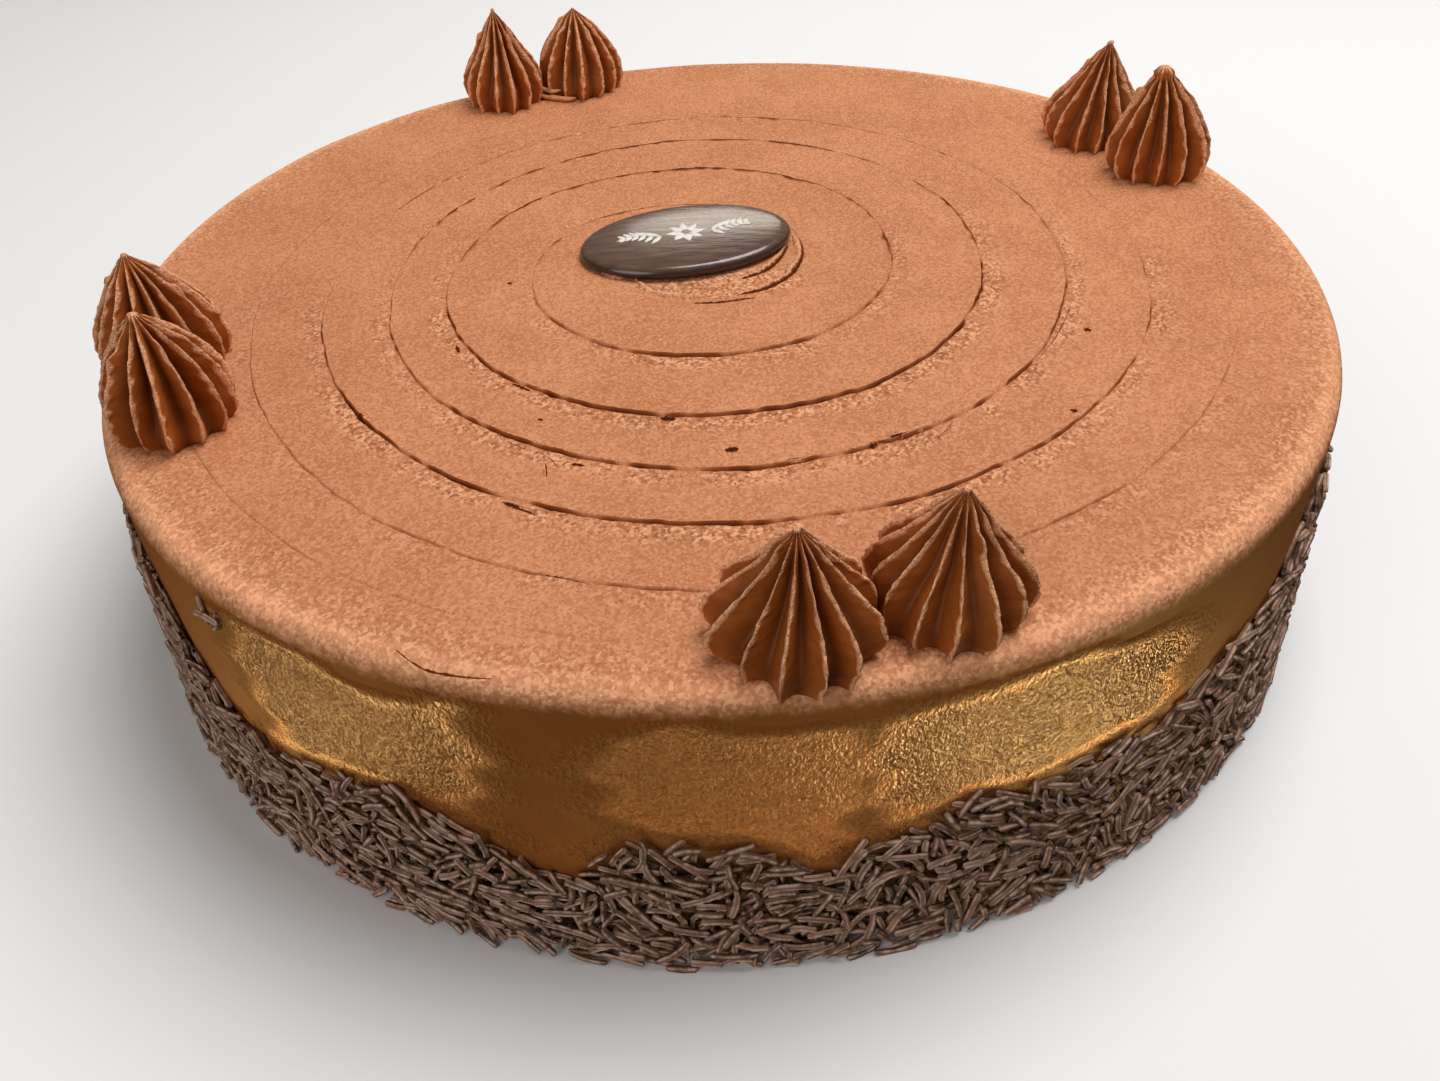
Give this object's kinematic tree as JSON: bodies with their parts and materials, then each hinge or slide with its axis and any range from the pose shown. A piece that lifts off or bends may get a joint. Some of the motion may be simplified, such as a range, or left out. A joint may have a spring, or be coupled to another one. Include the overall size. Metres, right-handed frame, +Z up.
{
  "type": "chocolate-iced layer cake",
  "caption": "Round uncut cake in chocolate icing combed into a spiral, with piped stars near its rim, chocolate sprinkles round its foot and an oval chocolate plaque.",
  "frame": {"origin": "centre of the flat underside that the cake rests on", "axes": "+Z up through the top of the cake; the front of the cake, with its front pair of piped stars, faces -Y; +X to the right of someone at the front"},
  "size_m": [0.2724, 0.27, 0.091],
  "materials": {
    "icing": "satin",
    "piped_cream": "satin",
    "plaque_chocolate": "gloss",
    "sprinkles": "matte",
    "plaque_ornament": "matte"
  },
  "bodies": {
    "root": {"iced_cake": "icing", "star_front_left": "piped_cream", "star_front_right": "piped_cream", "star_left_front": "piped_cream", "star_left_back": "piped_cream", "star_back_left": "piped_cream", "star_back_right": "piped_cream", "star_right_back": "piped_cream", "star_right_front": "piped_cream", "plaque": "plaque_chocolate"}
  },
  "joints": []
}
